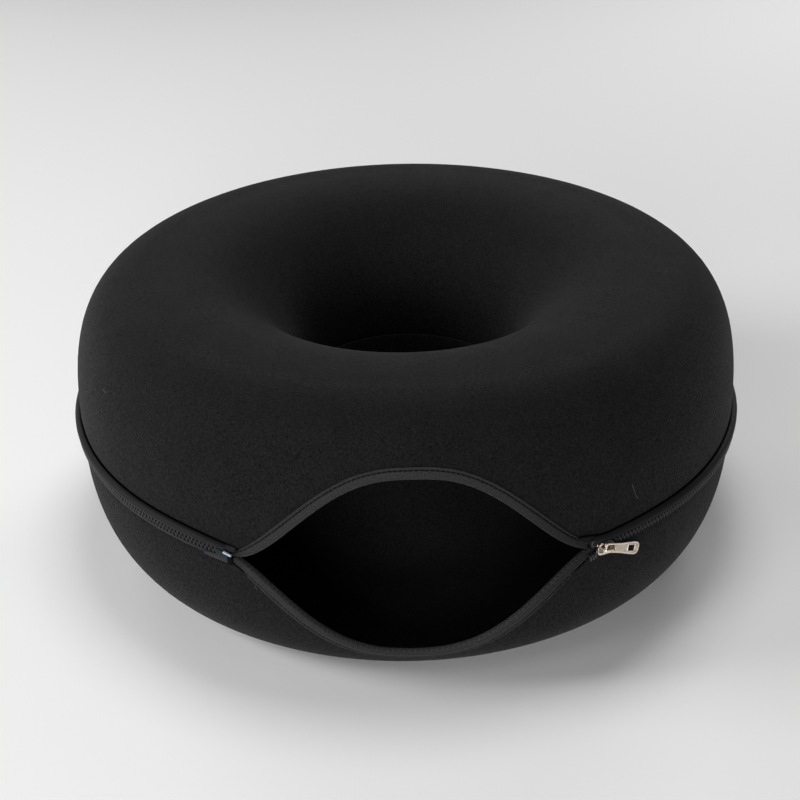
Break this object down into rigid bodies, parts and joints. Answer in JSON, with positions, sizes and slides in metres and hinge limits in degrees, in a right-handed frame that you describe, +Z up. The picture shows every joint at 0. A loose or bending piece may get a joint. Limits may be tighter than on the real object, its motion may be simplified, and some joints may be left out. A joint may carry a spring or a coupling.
{
  "type": "felt cat cave",
  "caption": "Ring-shaped pet tunnel of pressed felt with a wide front mouth and an open centre, its upper and lower halves joined by a zip round the outside.",
  "frame": {"origin": "on the floor under the middle of the bounding box; the ring's upright axis stands 5.8 mm in front of it, because the zip's flange is missing at the mouth", "axes": "+Z up, -Y out of the front mouth, +X to the right as seen from the front"},
  "size_m": [0.5988, 0.5875, 0.2517],
  "materials": {
    "black_felt": "pressed felt, matt with a fine fibre swirl",
    "black_twill": "twill tape",
    "zip_tape_black": "woven zip tape",
    "zip_teeth_black": "satin",
    "zip_plastic_black": "gloss",
    "pale_gold_metal": "satin pale gold plating"
  },
  "bodies": {
    "root": {"felt_upper_shell": "black_felt", "felt_lower_shell": "black_felt", "lip_binding_upper": "black_twill", "lip_binding_lower": "black_twill", "zip_tape_upper": "zip_tape_black", "zip_tape_lower": "zip_tape_black", "zip_chain": "zip_teeth_black", "zip_slider": "pale_gold_metal", "zip_pull": "pale_gold_metal", "zip_retainer_box": "zip_plastic_black", "zip_stop_upper": "zip_plastic_black", "zip_stop_lower": "zip_plastic_black"}
  },
  "joints": []
}
